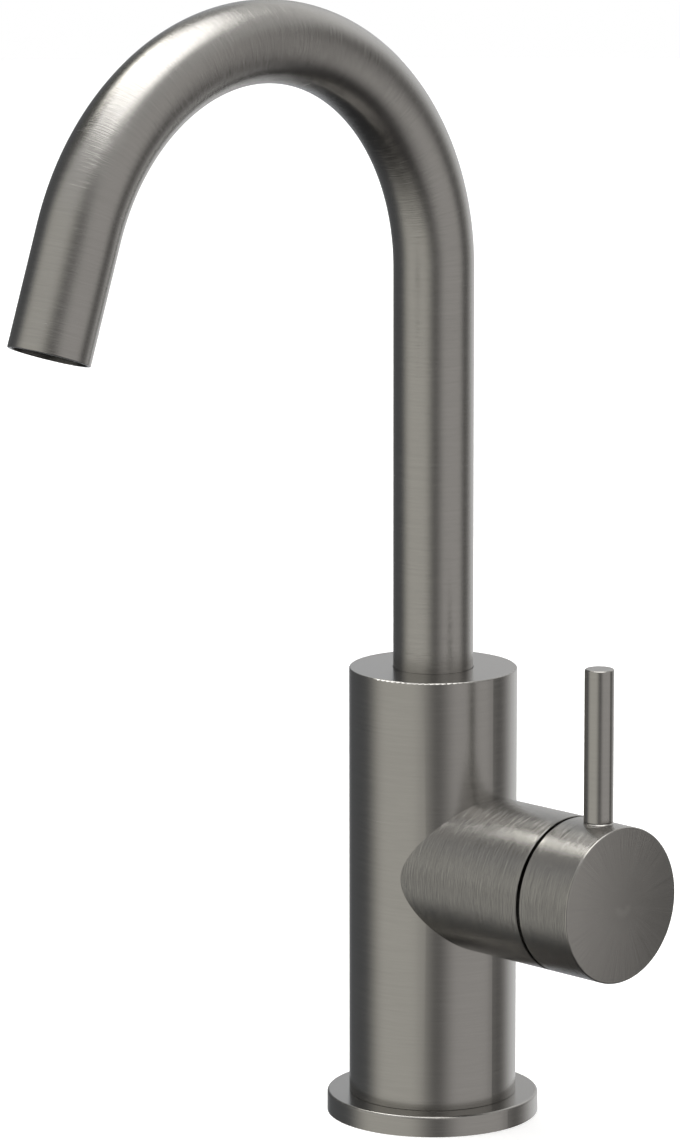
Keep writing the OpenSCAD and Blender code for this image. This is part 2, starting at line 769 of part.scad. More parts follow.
module disc_carrier() {
    disc_rim = 0.5;
    color("dimgray") on_disc(carrier_x) difference() {
        intersection() {
            cylinder(d = moving_disc_d - 2 * disc_rim, h = carrier_t);
            translate([-carrier_w / 2, -moving_disc_d / 2, 0]) cube([carrier_w, moving_disc_d, carrier_t]);
        }
        rod(ball_r + turn_fit, pocket_floor_t, carrier_t + past);
    }
}

module cartridge_rotor() {
    slot_half = (rotor_end_x - pivot_x) * tan(half_tilt) + stem_w / 2 / cos(half_tilt) + face_gap;
    slot_w = stem_w + 2 * turn_fit;
    lug_in = carrier_w / 2 + turn_fit;
    lug_w = 3;
    lug_len = 10;
    lug_gap = 1.5;
    lug_foot_x = carrier_x + lug_gap;
    color("gainsboro") on_barrel() difference() {
        union() {
            rod(chamber_r - face_gap, rotor_x, rotor_x + rotor_base_t);
            turned_rod(rotor_neck_d / 2, rotor_x, rotor_end_x, 0, small_chamfer);
            for (side = [-1, 1]) translate([side * (lug_in + lug_w / 2) - lug_w / 2, -lug_len / 2, lug_foot_x])
                cube([lug_w, lug_len, rotor_x - lug_foot_x + past]);
        }
        translate([-slot_w / 2, -slot_half, rotor_x - past])
            cube([slot_w, 2 * slot_half, rotor_end_x - rotor_x + 2 * past]);
        translate([0, 0, pivot_x]) rotate([0, 90, 0])
            cylinder(r = pivot_d / 2 + push_fit, h = rotor_neck_d + past, center = true);
        sector(chamber_r + past, stop_notch_r, rotor_x - past, rotor_x + rotor_base_t + past,
            90 - stop_notch_half, 90 + stop_notch_half);
    }
}

module pivot_pin() {
    end_sink = 1;
    color(steel) on_barrel(pivot_x) rotate([0, 90, 0])
        cylinder(d = pivot_d, h = rotor_neck_d - 2 * end_sink, center = true);
}

// Stem with its square, its hub on the pivot pin and the ball that drives the disc
module stem() {
    hub_r = stem_w / 2;
    color(raw_brass) on_stem() difference() {
        union() {
            translate([-stem_w / 2, -stem_w / 2, 0]) cube([stem_w, stem_w, stem_len]);
            rotate([0, 90, 0]) cylinder(r = hub_r, h = stem_w, center = true);
            rod(inner_arm_d / 2, -inner_arm, 0);
            translate([0, 0, -inner_arm]) sphere(ball_r);
        }
        rotate([0, 90, 0]) cylinder(r = pivot_d / 2 + pin_fit, h = stem_w + past, center = true);
    }
}

module cartridge_nut() {
    notch_h = 2.5;
    notch_w = 4;
    color(raw_brass) on_barrel() difference() {
        turned_rod(nut_r, shoulder_x, nut_end_x, thread_chamfer, thread_chamfer);
        rod(neck_r + turn_fit, shoulder_x - past, nut_end_x + past);
        for (i = [0 : nut_notches - 1]) rotate([0, 0, i * 360 / nut_notches])
            translate([(neck_r + nut_r) / 2, -notch_w / 2, nut_end_x - notch_h])
                cube([nut_r, notch_w, notch_h + past]);
    }
}

// Turned cover over the nut, with a round crown about the stem's pivot
module dome_cover() {
    flange_t = 1.2;
    flange_z = dome_flange_x - pivot_x;
    color("silver") on_barrel(pivot_x) rotate_extrude() difference() {
        union() {
            translate([0, flange_z]) square([nut_r - turn_fit, flange_t]);
            intersection() {
                circle(dome_r);
                translate([0, flange_z]) square(dome_r);
            }
        }
        circle(dome_bore_r);
        translate([-past, -dome_r]) square([dome_hole_r + past, 2 * dome_r + past]);
        translate([-dome_r - past, -dome_r - past]) square([dome_r + past, 2 * dome_r + 2 * past]);
    }
}

// Handle

module handle_cap() {
    boss_inset = 0.5;
    crown_sides = 1440;
    pillar_top = sqrt(pow(cap_r, 2) - pow(pillar_r, 2)) - pillar_sink;
    color(gunmetal) difference() {
        union() {
            on_barrel() rotate_extrude() {
                polygon([
                    [rim_bore_r, cap_x], [cap_r - rim_chamfer, cap_x], [cap_r, cap_x + rim_chamfer],
                    [cap_r, cap_end_x - cap_round], [0, cap_end_x - cap_round],
                    [0, cap_floor_x], [cap_bore_r, cap_floor_x], [cap_bore_r, taper_end_x]
                ]);
                intersection() {
                    translate([0, cap_end_x + face_crown - crown_r]) circle(crown_r, $fn = crown_sides);
                    translate([0, cap_end_x - cap_round - lap]) square([cap_r - cap_round, 2]);
                }
                intersection() {
                    translate([cap_r - cap_round, cap_end_x - cap_round]) circle(cap_round);
                    translate([cap_r - cap_round - lap, cap_end_x - cap_round - lap]) square(cap_round + past);
                }
            }
            translate([lever_x, 0, valve_z]) rotate_extrude() difference() {
                translate([0, stem_w / 2]) square([boss_foot_r, lever_foot_h - stem_w / 2]);
                translate([boss_foot_r, lever_foot_h]) circle(foot_fillet);
            }
            intersection() {
                on_stem() rod(boss_r, boss_start, 2 * stem_len);
                on_barrel() rod(cap_bore_r - boss_inset, cap_x, cap_floor_x + past);
            }
            translate([lever_x, 0, valve_z]) rod(pillar_r, stem_w / 2, pillar_top);
        }
        on_stem() translate([-stem_w / 2 - push_fit, -stem_w / 2 - push_fit, 0])
            cube([stem_w + 2 * push_fit, stem_w + 2 * push_fit, stem_len + push_fit]);
        translate([lever_x, 0, valve_z]) rod(lever_thread_r, stem_w / 2, lever_foot_h + past);
    }
}

module cap_screw() {
    key_d = 3;
    key_h = 2.5;
    top_h = cap_screw_h + cap_screw_len;
    color(steel) translate([lever_x, 0, valve_z]) difference() {
        turned_rod(lever_thread_r - push_fit, cap_screw_h, top_h, lead_in, thread_chamfer);
        translate([0, 0, top_h - key_h]) cylinder(d = key_d / cos(30), h = key_h + past, $fn = 6);
    }
}

module lever_rod() {
    foot_chamfer = 0.25;
    color(gunmetal) translate([lever_x, 0, valve_z]) {
        rounded_rod(lever_r, lever_foot_h, lever_tip_h, foot_chamfer, lever_round);
        turned_rod(lever_thread_r - push_fit, lever_foot_h - lever_thread_len, lever_foot_h + past, lead_in, 0);
    }
}

base_ring();
base_seal();
column();
inlet_plug();
inlet_pipe_hot();
inlet_pipe_cold();
seat_block();
outlet_pipe();
spout_socket();
glide_ring();
stop_screw();
spout_tube();
spout_spigot();
spigot_orings();
aerator_housing();
aerator_comb();
aerator_seal();
valve_barrel();
cartridge_base();
port_seals();
cartridge_housing();
fixed_disc();
moving_disc();
disc_carrier();
cartridge_rotor();
pivot_pin();
stem();
cartridge_nut();
dome_cover();
handle_cap();
cap_screw();
lever_rod();
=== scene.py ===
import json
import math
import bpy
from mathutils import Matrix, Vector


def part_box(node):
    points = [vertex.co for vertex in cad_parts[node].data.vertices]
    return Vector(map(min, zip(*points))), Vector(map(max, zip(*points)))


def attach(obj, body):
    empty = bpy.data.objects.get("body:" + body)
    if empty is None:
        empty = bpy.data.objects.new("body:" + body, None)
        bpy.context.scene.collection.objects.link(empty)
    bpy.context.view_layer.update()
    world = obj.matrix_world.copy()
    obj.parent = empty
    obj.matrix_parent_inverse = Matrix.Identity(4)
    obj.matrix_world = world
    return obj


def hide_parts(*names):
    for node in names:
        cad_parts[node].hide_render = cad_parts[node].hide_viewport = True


bl_info = {
    "name": "Tall basin mixer",
    "version": (1, 0, 0),
    "blender": (4, 5, 0),
    "location": "View3D > Sidebar > Mixer",
    "description": "Dresses the packed tall basin mixer with its brushed gunmetal finish, threads and studio",
    "category": "Object",
}

from collections import namedtuple

import bmesh
import bpy
from bpy.props import FloatProperty, FloatVectorProperty, IntProperty, PointerProperty
from mathutils import Matrix, Vector

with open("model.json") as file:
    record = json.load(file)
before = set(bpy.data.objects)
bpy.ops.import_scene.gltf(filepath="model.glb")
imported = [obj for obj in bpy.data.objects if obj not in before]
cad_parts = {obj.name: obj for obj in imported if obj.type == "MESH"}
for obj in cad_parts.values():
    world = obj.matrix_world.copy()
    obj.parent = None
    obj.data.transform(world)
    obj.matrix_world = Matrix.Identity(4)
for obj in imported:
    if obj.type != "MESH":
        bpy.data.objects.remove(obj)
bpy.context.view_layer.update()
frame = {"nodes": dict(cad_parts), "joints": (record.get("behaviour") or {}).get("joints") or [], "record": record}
MM = 0.001
FULL_TURN = 2 * math.pi
QUARTER_TURN = math.pi / 2

# Places and sizes that the frame gives, in metres
JOINTS = {joint["name"]: joint for joint in frame["joints"]}
MOUNTS = {mount["name"]: mount for mount in frame["record"]["mounts"]}
CAP_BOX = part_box("handle_cap")
LEVER_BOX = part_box("lever_rod")
TUBE_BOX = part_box("spout_tube")
BARREL_Z = JOINTS["flow_tilt"]["pos_m"][2]
CAP_RADIUS = CAP_BOX[1].y
LEVER_X = (LEVER_BOX[0].x + LEVER_BOX[1].x) / 2
TUBE_RADIUS = TUBE_BOX[1].x

# Sizes of the solids' source that the frame doesn't give, in metres and radians
TUBE_WALL = 1.5 * MM
MOUTH_RADIUS = TUBE_RADIUS - 1 * MM
MOUTH_DEPTH = 10.2 * MM
END_LENGTH = 32.75 * MM
BEND_RADIUS = 66 * MM
BEND_ANGLE = math.radians(161)
BEND_HEIGHT = TUBE_BOX[1].z - TUBE_RADIUS - BEND_RADIUS

# Where the cap's crowned end face starts inside its end, and its boss outside its wall, in metres
FACE_START = 0.75 * MM
BOSS_START = 0.02 * MM

# Steepness of the relief at the boss's foot, and weight of the lines at the rim of the crowned face
FOOT_SLOPE = 0.8
FACE_WEIGHT = 0.4

# Hairlines too fine to be seen: width in metres, and how many there are to a metre round the piece
HAIRLINE_WIDTH = 0.12 * MM
HAIRLINES_ROUND = 150.0

# Brush lines: how much shorter and narrower the fine ones are, and their shift against the coarse ones
FINE_SHORTER = 2.3
FINE_NARROWER = 3.1
FINE_SHIFT = 4.1

# Threads, in pitches: groove's depth and half width, its start outside the hole, and what its length lacks
THREAD_DEPTH = 0.55
THREAD_HALF_WIDTH = 0.46
THREAD_LEAD_IN = 0.2
THREAD_SHORTER = 0.7

# Threads: how far the cutter starts inside the hole's wall in metres, and how many run-outs make a turn
CUTTER_OVERLAP = 0.05 * MM
RUN_OUTS_A_TURN = 3.0

# Colours of the plastics and the rubber that have no setting of their own
CARRIER_GREY = (0.13, 0.13, 0.14)
AERATOR_BLACK = (0.045, 0.045, 0.047)
COMB_GREY = (0.3, 0.3, 0.3)
RUBBER_BLACK = (0.018, 0.018, 0.019, 1)
RUBBER_BLOOM = (0.062, 0.062, 0.06, 1)
WHITE = (1, 1, 1, 1)

# The photograph's viewpoint: place in metres, heading, pitch and roll in degrees, lens in millimetres
CAMERA_PLACE = (1.1018, -1.1055, 0.4505)
CAMERA_HEADING = 45.842
CAMERA_PITCH = 10.809
CAMERA_ROLL = -0.075
CAMERA_LENS = 183.0
CAMERA_SENSOR = 36


class Wire:
    """An output socket that takes part in sums: + - * / and comparisons add Math nodes."""

    def __init__(self, bench, socket):
        self.bench = bench
        self.socket = socket

    def _math(self, operation, *values):
        return self.bench.node("Math", {"operation": operation}, dict(enumerate(values)))

    def __add__(self, other):
        return self._math("ADD", self, other)

    def __radd__(self, other):
        return self._math("ADD", other, self)

    def __sub__(self, other):
        return self._math("SUBTRACT", self, other)

    def __rsub__(self, other):
        return self._math("SUBTRACT", other, self)

    def __mul__(self, other):
        return self._math("MULTIPLY", self, other)

    def __rmul__(self, other):
        return self._math("MULTIPLY", other, self)

    def __truediv__(self, other):
        return self._math("DIVIDE", self, other)

    def __rtruediv__(self, other):
        return self._math("DIVIDE", other, self)

    def __gt__(self, other):
        return self._math("GREATER_THAN", self, other)

    def __lt__(self, other):
        return self._math("LESS_THAN", self, other)


class Bench:
    """A node tree being built. One method adds any node: its settings are set first, then its sockets."""

    def __init__(self, tree):
        self.tree = tree
        self.tree.nodes.clear()
        self.count = 0

    def node(self, kind, settings=None, inputs=None, output=0):
        """Adds a node and gives one of its outputs. Shader nodes are named without their first word."""
        whole_name = kind.startswith(("Geometry", "Function", "Node"))
        made = self.tree.nodes.new(kind if whole_name else "ShaderNode" + kind)
        self.count += 1
        made.location = (190 * (self.count % 12), -230 * (self.count // 12))
        for name, value in (settings or {}).items():
            setattr(made, name, value)
        for key, value in (inputs or {}).items():
            if isinstance(value, Wire):
                self.tree.links.new(value.socket, made.inputs[key])
            else:
                made.inputs[key].default_value = value
        return Wire(self, made.outputs[output]) if made.outputs else None

    def outputs(self, wire, *names):
        return [Wire(self, wire.socket.node.outputs[name]) for name in names]

    def join(self, x, y, z):
        return self.node("CombineXYZ", inputs={0: x, 1: y, 2: z})

    def split(self, vector):
        made = self.node("SeparateXYZ", inputs={0: vector})
        return self.outputs(made, 0, 1, 2)

    def spaced(self, x, y, z, across, along=None):
        """A place counted in features of a noise: across to a metre, and along to a metre of the last one."""
        return self.join(x * across, y * across, z * (along or across))

    def length(self, *values):
        total = values[0] * values[0]
        for value in values[1:]:
            total = total + value * value
        return self.node("Math", {"operation": "SQRT"}, {0: total})

    def angle(self, y, x):
        return self.node("Math", {"operation": "ARCTAN2"}, {0: y, 1: x})

    def sine(self, value):
        return self.node("Math", {"operation": "SINE"}, {0: value})

    def cosine(self, value):
        return self.node("Math", {"operation": "COSINE"}, {0: value})

    def size_of(self, value):
        return self.node("Math", {"operation": "ABSOLUTE"}, {0: value})

    def larger(self, first, second):
        return self.node("Math", {"operation": "MAXIMUM"}, {0: first, 1: second})

    def smaller(self, first, second):
        return self.node("Math", {"operation": "MINIMUM"}, {0: first, 1: second})

    def smooth(self, value, low, high, to_low=0.0, to_high=1.0):
        """Goes softly from to_low to to_high as the value goes from low to high."""
        return self.node("MapRange", {"interpolation_type": "SMOOTHSTEP"},
                         {0: value, 1: low, 2: high, 3: to_low, 4: to_high})

    def window(self, value, low, low_soft, high, high_soft):
        """1 between low and high and 0 outside, with soft edges of the given widths."""
        opened = self.smooth(value, low - low_soft / 2, low + low_soft / 2)
        return opened * self.smooth(value, high - high_soft / 2, high + high_soft / 2, 1.0, 0.0)

    def noise(self, vector, detail=2.0, rough=0.5, scale=1.0, distortion=0.0):
        return self.node("TexNoise", {"noise_dimensions": "3D"},
                         {"Vector": vector, "Scale": scale, "Detail": detail, "Roughness": rough,
                          "Distortion": distortion})

    def tint(self, factor, first, second):
        """Mixes two colours."""
        return self.node("Mix", {"data_type": "RGBA", "blend_type": "MIX", "clamp_factor": True},
                         {0: factor, 6: first, 7: second}, output=2)

    def bump(self, height, distance, strength=1.0):
        return self.node("Bump", inputs={"Height": height, "Distance": distance, "Strength": strength})

    def place(self):
        return self.outputs(self.node("TexCoord"), "Object")[0]


def rgba(colour, factor):
    """A colour made darker or lighter by a factor, with full alpha."""
    return tuple(part * factor for part in colour[:3]) + (1.0,)


def swing(noise):
    """A noise moved to swing about zero."""
    return noise - 0.5


def per_metre(size):
    """How many features of a size in millimetres there are to a metre."""
    return 1.0 / (size * MM)


def new_finish(name):
    """A new material with its bench."""
    made = bpy.data.materials.new(name)
    made.use_nodes = True
    return made, Bench(made.node_tree)


def close_finish(bench, **sockets):
    """Ends a material in one principled shader. Names are the shader's, with _ for a space."""
    inputs = {name.replace("_", " "): value for name, value in sockets.items()}
    shader = bench.node("BsdfPrincipled", inputs=inputs)
    bench.node("OutputMaterial", inputs={"Surface": shader})


def dress(finish, *nodes):
    """Gives CAD nodes a finish, in every material slot that they have."""
    for name in nodes:
        piece = frame["nodes"][name]
        if not piece.material_slots:
            piece.data.materials.append(finish)
        for slot in piece.material_slots:
            slot.material = finish


# Brushed gunmetal

# A place on a piece: two coordinates round its axis, one along it, weight of the lines, relief, and inside, where
# shade is painted into the bore
Sweep = namedtuple("Sweep", "round_x round_y along weight relief inside", defaults=(1.0, 0.0, 0.0))


def brush_marks(bench, way, look):
    """Coarse and fine scratches that run round an axis: long round it, narrow along it."""
    long_way = per_metre(look.streak_length)
    narrow_way = per_metre(look.streak_width)
    place = bench.spaced(way.round_x, way.round_y, way.along, long_way, narrow_way)
    coarse = bench.noise(place, detail=3.0, rough=0.62)
    long_way = long_way * FINE_SHORTER
    narrow_way = narrow_way * FINE_NARROWER
    place = bench.join(way.round_x * long_way + FINE_SHIFT, way.round_y * long_way, way.along * narrow_way)
    return coarse, bench.noise(place, detail=2.0, rough=0.6)


def gunmetal(name, look, sweep, depth, spread=0.0):
    """Brushed gunmetal, with lines that run as sweep says.

    depth is the depth of the lines that show, in millimetres. spread is that of lines too fine to be seen,
    which widen the reflections across the lines."""
    made, bench = new_finish(name)
    x, y, z = bench.split(bench.place())
    way = sweep(bench, x, y, z)
    coarse, fine = brush_marks(bench, way, look)
    cloud = bench.noise(bench.spaced(x, y, z, 60.0))
    streak = swing(coarse) * 1.4 + swing(fine) * 0.8
    shade = 0.5 + streak * look.streak_contrast + swing(cloud) * 0.15
    colour = bench.tint(shade, rgba(look.colour, 0.72), rgba(look.colour, 1.28))
    # Painted shade: the base colour goes darker where the sweep marks the inside of the mouth and bore
    colour = bench.tint(way.inside, colour, rgba(look.colour, 0.25))
    rough = look.roughness + streak * 0.07 + swing(cloud) * 0.03
    height = (coarse * 0.7 + fine * 0.3) * (depth * MM)
    if spread:
        place = bench.spaced(way.round_x, way.round_y, way.along, HAIRLINES_ROUND, 1.0 / HAIRLINE_WIDTH)
        height = height + bench.noise(place, detail=1.0) * (spread * MM)
    height = height * way.weight + way.relief
    close_finish(bench, Base_Color=colour, Metallic=1.0, Roughness=rough, Normal=bench.bump(height, 1.0))
    return made


def sweep_column(bench, x, y, z):
    """Turned about the column: the lines are rings on its wall and on its flat faces."""
    return Sweep(x, y, z + bench.length(x, y))


def sweep_barrel(bench, x, y, z):
    """Turned about the barrel's axis, and brushed from the middle outwards on the cap's crowned end face.

    On the cap's boss the lines run round the lever. The relief makes the foot of the boss steeper."""
    high = z - BARREL_Z
    radius = bench.length(y, high)
    beside = x - LEVER_X
    on_face = x > CAP_BOX[1].x - FACE_START
    on_boss = radius > CAP_RADIUS + BOSS_START
    on_wall = 1.0 - on_face - on_boss
    turn = bench.angle(high, y)
    round_x = y * on_wall + radius * 0.25 * on_face + beside * on_boss
    round_y = high * on_wall + y * on_boss
    along = x * on_wall + turn * 0.016 * on_face + (z + bench.length(beside, y)) * on_boss
    relief = bench.larger(radius - CAP_RADIUS, 0.0) * -FOOT_SLOPE
    weight = 1.0 - on_face * (1.0 - radius * (FACE_WEIGHT / CAP_RADIUS))
    return Sweep(round_x, round_y, along, weight, relief)


def sweep_lever(bench, x, y, z):
    """Turned about the lever's own axis."""
    beside = x - LEVER_X
    return Sweep(beside, y, z + bench.length(beside, y))


def sweep_spout(bench, x, y, z):
    """Round the tube, at every place of the riser, the bend and the straight end. The mouth and bore get a darker
    base colour, a painted shade.
    """
    over = y + BEND_RADIUS
    up = z - BEND_HEIGHT
    turned = bench.angle(up, over)
    past_top = over < 0.0
    out_x = math.cos(BEND_ANGLE)
    out_y = math.sin(BEND_ANGLE)
    beyond = up * out_x - over * out_y
    on_end = (beyond > 0.0) * past_top
    on_riser = (up < 0.0) * (1.0 - past_top)
    on_bend = (1.0 - on_end) * (1.0 - on_riser)
    offset = on_riser * y + on_bend * (bench.length(over, up) - BEND_RADIUS)
    offset = offset + on_end * (over * out_x + up * out_y - BEND_RADIUS)
    along = on_riser * up + on_bend * turned * BEND_RADIUS
    along = along + on_end * (beyond + BEND_ANGLE * BEND_RADIUS)
    radius = bench.length(x, offset)
    # Painted shade: 1 in the mouth and bore, where the base colour is darkened, 0 on the outer skin
    inside = bench.smooth(radius, MOUTH_RADIUS + 0.05 * MM, MOUTH_RADIUS + 0.3 * MM, 1.0, 0.0)
    return Sweep(x, offset, along, inside=inside)


# Finishes of the pieces inside

def turned_metal(name, colour, axis, look, roughness):
    """Metal off the lathe: fine rings about an axis, with faint stains."""
    made, bench = new_finish(name)
    x, y, z = bench.split(bench.place())
    if axis == "barrel":
        rings = x + bench.length(y, z - BARREL_Z)
    elif axis == "lever":
        rings = z + bench.length(x - LEVER_X, y)
    else:
        rings = z + bench.length(x, y)
    place = bench.join(rings * per_metre(look.lathe_pitch), x * 40.0, y * 40.0)
    feed = bench.noise(place, detail=3.0, rough=0.6)
    stain = bench.noise(bench.spaced(x, y, z, 90.0), detail=4.0, rough=0.6)
    shade = 0.5 + swing(feed) * 0.5 + swing(stain) * 0.9
    tone = bench.tint(shade, rgba(colour, 0.66), rgba(colour, 1.12))
    rough = roughness + swing(stain) * 0.16 + swing(feed) * 0.1
    close_finish(bench, Base_Color=tone, Metallic=1.0, Roughness=rough,
                 Normal=bench.bump(feed, look.lathe_depth * MM))
    return made


def cast_metal(name, colour):
    """Sand-cast and blasted metal: a fine pitted skin with darker hollows."""
    made, bench = new_finish(name)
    place = bench.place()
    grain = bench.noise(place, detail=4.0, rough=0.65, scale=per_metre(0.45))
    patch = bench.noise(place, detail=3.0, rough=0.55, scale=per_metre(9))
    shade = grain * 0.6 + patch * 0.5
    tone = bench.tint(shade, rgba(colour, 0.5), rgba(colour, 1.1))
    close_finish(bench, Base_Color=tone, Metallic=1.0, Roughness=0.34 + grain * 0.22,
                 Normal=bench.bump(grain * 0.8 + patch * 0.4, 0.05 * MM))
    return made


def drawn_tube(name, colour):
    """Drawn copper: lines along the tube, and darker clouds where flux and heat have been."""
    made, bench = new_finish(name)
    x, y, z = bench.split(bench.place())
    lines = bench.noise(bench.spaced(x, y, z, 5200.0, 45.0), detail=2.0, rough=0.6)
    cloud = bench.noise(bench.spaced(x, y, z, 110.0, 60.0), detail=4.0, rough=0.62, distortion=0.6)
    heat = bench.smooth(cloud, 0.42, 0.72)
    burnt = (colour[0] * 0.5, colour[1] * 0.42, colour[2] * 0.5, 1)
    tone = bench.tint(heat, rgba(colour, 1.05), burnt)
    tone = bench.tint(swing(lines) * 0.5 + 0.2, tone, rgba(colour, 1.2))
    close_finish(bench, Base_Color=tone, Metallic=1.0, Roughness=0.24 + heat * 0.2 + swing(lines) * 0.1,
                 Normal=bench.bump(lines, 0.015 * MM))
    return made


def moulded(name, colour, look, roughness, flow=0.0):
    """Moulded plastic: spark-eroded grain, a faint flow pattern and slightly uneven gloss."""
    made, bench = new_finish(name)
    place = bench.place()
    grain = bench.noise(place, detail=3.0, rough=0.6, scale=per_metre(look.plastic_grain))
    swirl = bench.noise(place, detail=2.0, rough=0.5, scale=per_metre(6), distortion=1.5)
    shade = swirl * (0.7 + flow) + swing(grain) * 0.3
    tone = bench.tint(shade, rgba(colour, 0.86), rgba(colour, 1.1))
    close_finish(bench, Base_Color=tone, Roughness=roughness + swing(grain) * 0.14 + swing(swirl) * 0.1,
                 Normal=bench.bump(grain, 0.02 * MM, 0.8))
    return made


def seal_rubber(name):
    """Moulded black rubber with a dull bloom."""
    made, bench = new_finish(name)
    place = bench.place()
    grain = bench.noise(place, detail=4.0, rough=0.7, scale=per_metre(0.18))
    bloom = bench.smooth(bench.noise(place, detail=3.0, rough=0.6, scale=per_metre(3.5)), 0.4, 0.75)
    tone = bench.tint(bloom * 0.6 + grain * 0.25, RUBBER_BLACK, RUBBER_BLOOM)
    close_finish(bench, Base_Color=tone, Roughness=0.5 + bloom * 0.22 + swing(grain) * 0.12,
                 Normal=bench.bump(grain, 0.02 * MM, 0.8))
    return made


def lapped_ceramic(name, colour):
    """Lapped alumina: pale, with fine crossing scratches and small grey specks."""
    made, bench = new_finish(name)
    x, y, z = bench.split(bench.place())
    rising = y + z
    falling = y - z
    one_way = bench.noise(bench.join(x * 400.0, rising * 3600.0, falling * 260.0), detail=2.0, rough=0.6)
    place = bench.join(x * 400.0 + 7.0, falling * 3600.0, rising * 260.0)
    other_way = bench.noise(place, detail=2.0, rough=0.6)
    speck = bench.smooth(bench.noise(bench.spaced(x, y, z, 2600.0)), 0.66, 0.78)
    scratch = one_way * 0.5 + other_way * 0.5
    tone = bench.tint(speck * 0.7 + swing(scratch) * 0.3, rgba(colour, 1.03), rgba(colour, 0.62))
    close_finish(bench, Base_Color=tone, Roughness=0.16 + swing(scratch) * 0.18 + speck * 0.1,
                 Normal=bench.bump(scratch, 0.004 * MM), Coat_Weight=0.15, Coat_Roughness=0.08)
    return made


# Shapes made by Geometry Nodes

def new_tree(name, sizes):
    """A node group with one named input for each size, its bench, and the inputs' wires by name."""
    tree = bpy.data.node_groups.new(name, "GeometryNodeTree")
    kinds = {int: "NodeSocketInt", float: "NodeSocketFloat", Vector: "NodeSocketVector"}
    tree.interface.new_socket(name="Geometry", in_out="INPUT", socket_type="NodeSocketGeometry")
    for label, value in sizes.items():
        tree.interface.new_socket(name=label, in_out="INPUT", socket_type=kinds[type(value)])
    tree.interface.new_socket(name="Finish", in_out="INPUT", socket_type="NodeSocketMaterial")
    tree.interface.new_socket(name="Geometry", in_out="OUTPUT", socket_type="NodeSocketGeometry")
    bench = Bench(tree)
    given = bench.node("NodeGroupInput")
    names = ["Geometry", *sizes, "Finish"]
    return tree, bench, dict(zip(names, bench.outputs(given, *range(len(names)))))


def close_tree(bench, shape, given):
    """Ends a tree in Realize Instances and Set Material."""
    solid = bench.node("GeometryNodeRealizeInstances", inputs={0: shape})
    inputs = {"Geometry": solid, "Material": given["Finish"]}
    finished = bench.node("GeometryNodeSetMaterial", inputs=inputs)
    bench.node("NodeGroupOutput", inputs={0: finished})


def grow(name, start, tree, sizes, finish, sharp_angle):
    """Runs a tree on a mesh, and gives a plain mesh object at the origin."""
    maker = bpy.data.objects.new(name + "_maker", start)
    bpy.context.scene.collection.objects.link(maker)
    modifier = maker.modifiers.new("Shape", "NODES")
    modifier.node_group = tree
    for item in tree.interface.items_tree:
        if item.in_out == "INPUT" and item.name in sizes:
            modifier[item.identifier] = sizes[item.name]
        elif item.in_out == "INPUT" and item.name == "Finish":
            modifier[item.identifier] = finish
    graph = bpy.context.evaluated_depsgraph_get()
    graph.update()
    mesh = bpy.data.meshes.new_from_object(maker.evaluated_get(graph))
    bpy.data.objects.remove(maker)
    if not mesh.polygons:
        raise RuntimeError("No shape came out of " + name)
    if not mesh.materials:
        mesh.materials.append(finish)
    mesh.shade_smooth()
    mesh.set_sharp_from_angle(angle=math.radians(sharp_angle))
    mesh.name = name
    piece = bpy.data.objects.new(name, mesh)
    bpy.context.scene.collection.objects.link(piece)
    return piece


def unit_grid(bench, across, along):
    """A square grid of steps, and its two coordinates, which go from 0 to 1."""
    inputs = {0: 1.0, 1: 1.0, 2: across, 3: along}
    grid = bench.node("GeometryNodeMeshGrid", inputs=inputs)
    u, v, _ = bench.split(bench.node("GeometryNodeInputPosition"))
    return grid, u + 0.5, v + 0.5


def swept_sheet(bench, path, around, rows, place, reach):
    """One sheet of the tube's skin. place and reach give the way along the path and the radius.

    Both depend on the share of the sheet's own length, from 0 to 1."""
    grid, u, v = unit_grid(bench, around + 1.0, rows + 1)
    turn = u * FULL_TURN
    y, z, out_y, out_z = path(place(v))
    radius = reach(v)
    beside = radius * bench.cosine(turn)
    beyond = radius * bench.sine(turn)
    spot = bench.join(beside, y + beyond * out_y, z + beyond * out_z)
    return bench.node("GeometryNodeSetPosition", inputs={"Geometry": grid, "Position": spot})


def groove(bench, size, hole):
    """A closed helical cutter of triangular section for one tapped hole. It runs out to a point at both ends.

    The section has three corners. The grid's second coordinate walks round them: corner goes from 0 to 3."""
    pitch = size[hole + " pitch"]
    core = size[hole + " core radius"] - CUTTER_OVERLAP
    depth = size[hole + " thread depth"] + CUTTER_OVERLAP
    turns = size[hole + " length"] / pitch
    grid, u, v = unit_grid(bench, turns * size["Steps a turn"], 4)
    corner = v * 3.0
    out = bench.larger(1.0 - bench.size_of(corner - 1.0), 0.0)
    up = bench.smaller(corner - 1.0, 5.0 - corner * 2.0)
    nearest_end = bench.smaller(u, 1.0 - u)
    run_out = bench.smaller(nearest_end * turns * RUN_OUTS_A_TURN, 1.0)
    reach = core + out * depth * run_out
    turn = u * turns * FULL_TURN
    rise = (u * turns + up * run_out * THREAD_HALF_WIDTH) * pitch
    spot = bench.join(reach * bench.cosine(turn), reach * bench.sine(turn), rise)
    wound = bench.node("GeometryNodeSetPosition", inputs={"Geometry": grid, "Position": spot})
    closed = bench.node("GeometryNodeMergeByDistance", inputs={"Geometry": wound, "Distance": 0.002 * MM})
    inputs = {"Geometry": closed, "Translation": size[hole + " place"]}
    return bench.node("GeometryNodeTransform", inputs=inputs)


def tapped_tree(sizes, holes):
    """Cuts a thread into the wall of each hole of the mesh that it is given."""
    tree, bench, size = new_tree("Tapped holes", sizes)
    cut = size["Geometry"]
    for hole in holes:
        cut = bench.node("GeometryNodeMeshBoolean", {"operation": "DIFFERENCE", "solver": "EXACT"},
                         {"Mesh 1": cut, "Mesh 2": groove(bench, size, hole)})
    close_tree(bench, cut, size)
    return tree


